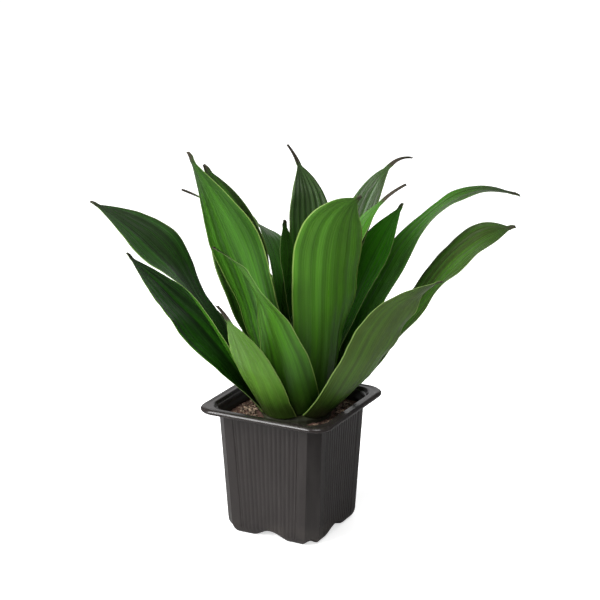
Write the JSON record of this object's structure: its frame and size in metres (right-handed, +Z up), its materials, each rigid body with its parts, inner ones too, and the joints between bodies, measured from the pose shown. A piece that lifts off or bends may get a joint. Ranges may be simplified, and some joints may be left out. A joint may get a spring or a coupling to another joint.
{
  "type": "potted dracaena",
  "caption": "Low potted house plant: a rosette of broad pointed leaves on a short stem, in a square ribbed nursery pot filled with soil.",
  "frame": {"origin": "middle of the pot's underside, on the round pad level with the feet", "axes": "+Z up; X and Y square to the pot's sides, with the pot's most visible side facing -Y and the longest leaves towards -X and +X"},
  "size_m": [0.2856, 0.2208, 0.2919],
  "materials": {
    "pot_plastic": "dark grey satin plastic with fine upright ribs and a smooth rolled rim",
    "soil": "dark brown damp potting mix with bits of bark",
    "stem": "pale green sheathed stem",
    "leaf": "satin green blade with lengthwise veins, pale edges and brown dry tips"
  },
  "bodies": {
    "root": {"pot": "pot_plastic", "soil": "soil", "stem": "stem", "leaf_01": "leaf", "leaf_02": "leaf", "leaf_03": "leaf", "leaf_04": "leaf", "leaf_05": "leaf", "leaf_06": "leaf", "leaf_07": "leaf", "leaf_08": "leaf", "leaf_09": "leaf", "leaf_10": "leaf", "leaf_11": "leaf", "leaf_12": "leaf", "leaf_13": "leaf", "leaf_14": "leaf", "leaf_15": "leaf", "leaf_16": "leaf", "leaf_17": "leaf", "leaf_18": "leaf", "leaf_19": "leaf", "leaf_20": "leaf"}
  },
  "joints": []
}
